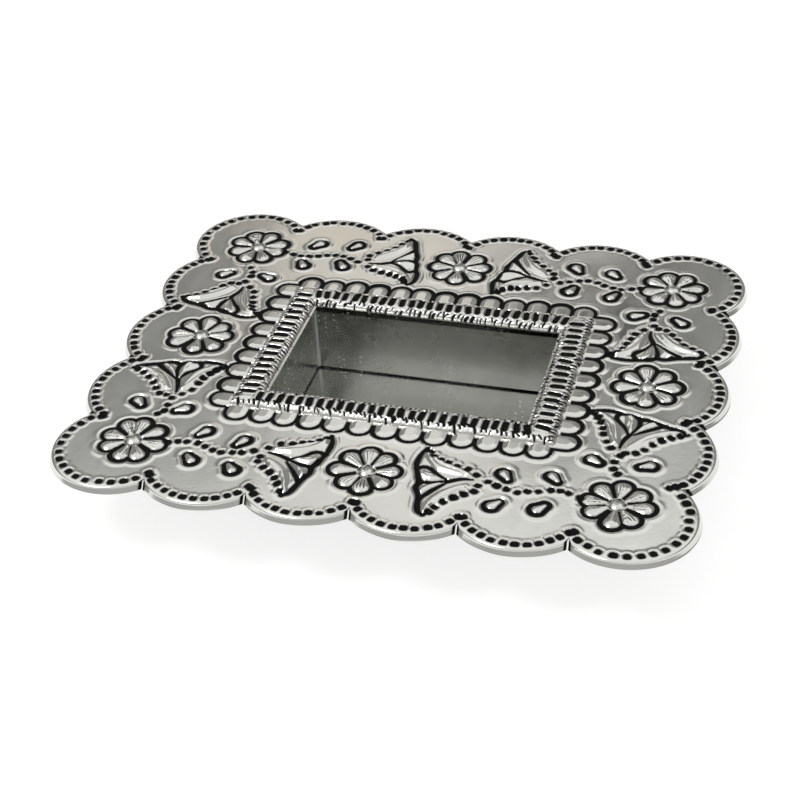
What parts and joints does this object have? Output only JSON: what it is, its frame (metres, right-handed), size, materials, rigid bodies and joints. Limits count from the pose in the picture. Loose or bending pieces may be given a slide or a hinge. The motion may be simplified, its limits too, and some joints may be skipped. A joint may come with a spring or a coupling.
{
  "type": "tin nicho",
  "caption": "Shallow tin display case with a glass window, a wide scalloped and embossed tin front and a hinged door at the back.",
  "frame": {"origin": "middle of the back door's outer face, on which the nicho lies", "axes": "+X along the long side, +Y towards the edge that is on top when it hangs, +Z out of the front"},
  "size_m": [0.2016, 0.1696, 0.0292],
  "materials": {
    "embossed_tin": "bright tinplate with black patina in the punched marks",
    "plain_tin": "bright tinplate",
    "window_glass": "clear window glass",
    "solder": "dull tin solder",
    "hinge_wire": "drawn iron wire"
  },
  "bodies": {
    "case": {"front_plate": "embossed_tin", "glass_pane": "window_glass", "wall_top": "plain_tin", "wall_bottom": "plain_tin", "wall_left": "plain_tin", "wall_right": "plain_tin", "corner_solder": "solder", "flange_solder": "solder", "glass_clips": "plain_tin", "hanger_tab": "plain_tin", "hinge_leaf_left": "plain_tin", "hinge_leaf_right": "plain_tin", "hinge_pin_left": "hinge_wire", "hinge_pin_right": "hinge_wire"},
    "door": {"back_door": "plain_tin", "door_leaf_left": "plain_tin", "door_leaf_right": "plain_tin"}
  },
  "joints": [
    {"name": "door_hinge", "type": "hinge", "parent": "case", "child": "door", "pos_m": [0, -0.02885, 0.00145], "axis": [-1, 0, 0], "range_deg": [0, 170]}
  ]
}
